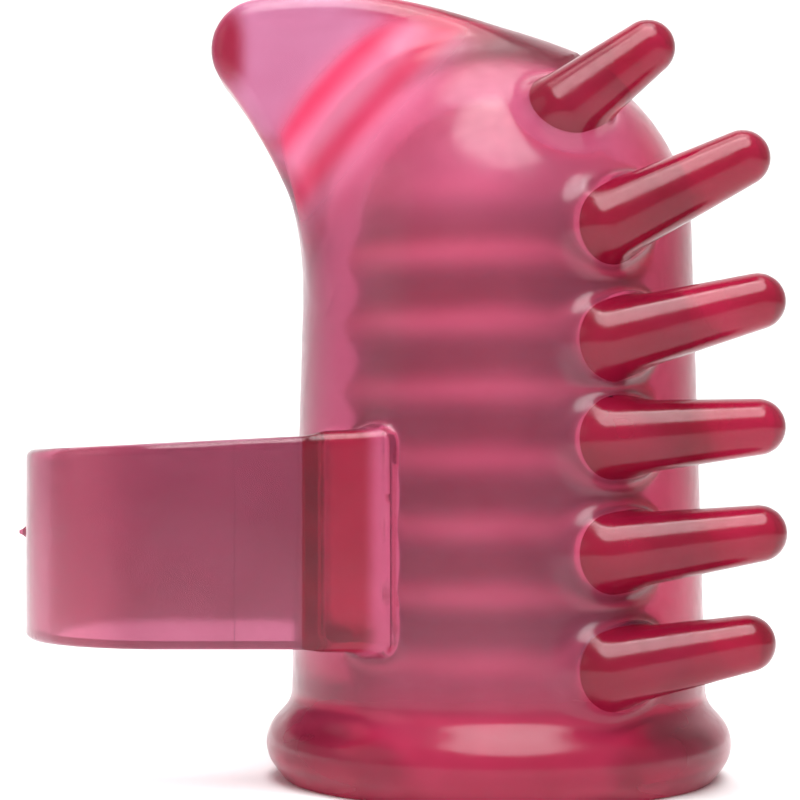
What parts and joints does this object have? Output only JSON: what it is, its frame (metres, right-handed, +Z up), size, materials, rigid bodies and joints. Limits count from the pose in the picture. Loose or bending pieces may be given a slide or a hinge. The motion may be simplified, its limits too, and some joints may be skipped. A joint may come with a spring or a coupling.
{
  "type": "finger toothbrush",
  "caption": "Soft clear gel sleeve worn on a finger, with a ribbed finger cup, a beak-shaped tip, a row of flexible round-ended prongs and a side loop for the next finger.",
  "frame": {"origin": "centre of the finger bore's mouth, in the plane that the rim rests on", "axes": "+Z up the sleeve's axis from the mouth to the dome, +X towards the prongs, -X towards the loop, the prong row on the -Y side"},
  "size_m": [0.0589, 0.0368, 0.0619],
  "materials": {
    "clear_gel": "clear glossy elastomer, tinted pink",
    "beak_gel": "clear glossy elastomer, tinted pink",
    "prong_gel": "clear glossy elastomer, tinted crimson",
    "loop_gel": "clear glossy elastomer, tinted pink",
    "cup_matte": "matte opaque elastomer, dusky rose"
  },
  "bodies": {
    "sleeve": {"sleeve_shell": "clear_gel", "beak": "beak_gel", "rim_bead": "clear_gel", "ribbed_liner": "cup_matte"},
    "prong_1": {"prong_1": "prong_gel"},
    "prong_2": {"prong_2": "prong_gel"},
    "prong_3": {"prong_3": "prong_gel"},
    "prong_4": {"prong_4": "prong_gel"},
    "prong_5": {"prong_5": "prong_gel"},
    "prong_6": {"prong_6": "prong_gel"},
    "loop_root": {"loop_pad_front": "loop_gel", "loop_pad_back": "loop_gel"},
    "loop": {"loop_strap": "loop_gel", "loop_nub": "loop_gel"}
  },
  "joints": [
    {"name": "prong_1_bend", "type": "hinge", "parent": "sleeve", "child": "prong_1", "pos_m": [0.0043, -0.01196, 0.0512], "axis": [0, -1, 0], "range_deg": [-14, 14], "stiffness_Nm_per_rad": 0.004},
    {"name": "prong_2_bend", "type": "hinge", "parent": "sleeve", "child": "prong_2", "pos_m": [0.0074, -0.0135, 0.0426], "axis": [0, -1, 0], "range_deg": [-14, 14], "stiffness_Nm_per_rad": 0.004},
    {"name": "prong_3_bend", "type": "hinge", "parent": "sleeve", "child": "prong_3", "pos_m": [0.0074, -0.01378, 0.034], "axis": [0, -1, 0], "range_deg": [-14, 14], "stiffness_Nm_per_rad": 0.004},
    {"name": "prong_4_bend", "type": "hinge", "parent": "sleeve", "child": "prong_4", "pos_m": [0.0074, -0.01401, 0.0267], "axis": [0, -1, 0], "range_deg": [-14, 14], "stiffness_Nm_per_rad": 0.004},
    {"name": "prong_5_bend", "type": "hinge", "parent": "sleeve", "child": "prong_5", "pos_m": [0.0074, -0.01428, 0.0183], "axis": [0, -1, 0], "range_deg": [-14, 14], "stiffness_Nm_per_rad": 0.004},
    {"name": "prong_6_bend", "type": "hinge", "parent": "sleeve", "child": "prong_6", "pos_m": [0.0074, -0.01455, 0.0098], "axis": [0, -1, 0], "range_deg": [-14, 14], "stiffness_Nm_per_rad": 0.004},
    {"name": "loop_swing", "type": "hinge", "parent": "sleeve", "child": "loop_root", "pos_m": [0, 0, 0.01935], "axis": [0, 0, 1], "range_deg": [-12, 12], "stiffness_Nm_per_rad": 0.03},
    {"name": "loop_tilt", "type": "hinge", "parent": "loop_root", "child": "loop", "pos_m": [-0.014, 0, 0.01935], "axis": [0, 1, 0], "range_deg": [-12, 12], "stiffness_Nm_per_rad": 0.05}
  ]
}
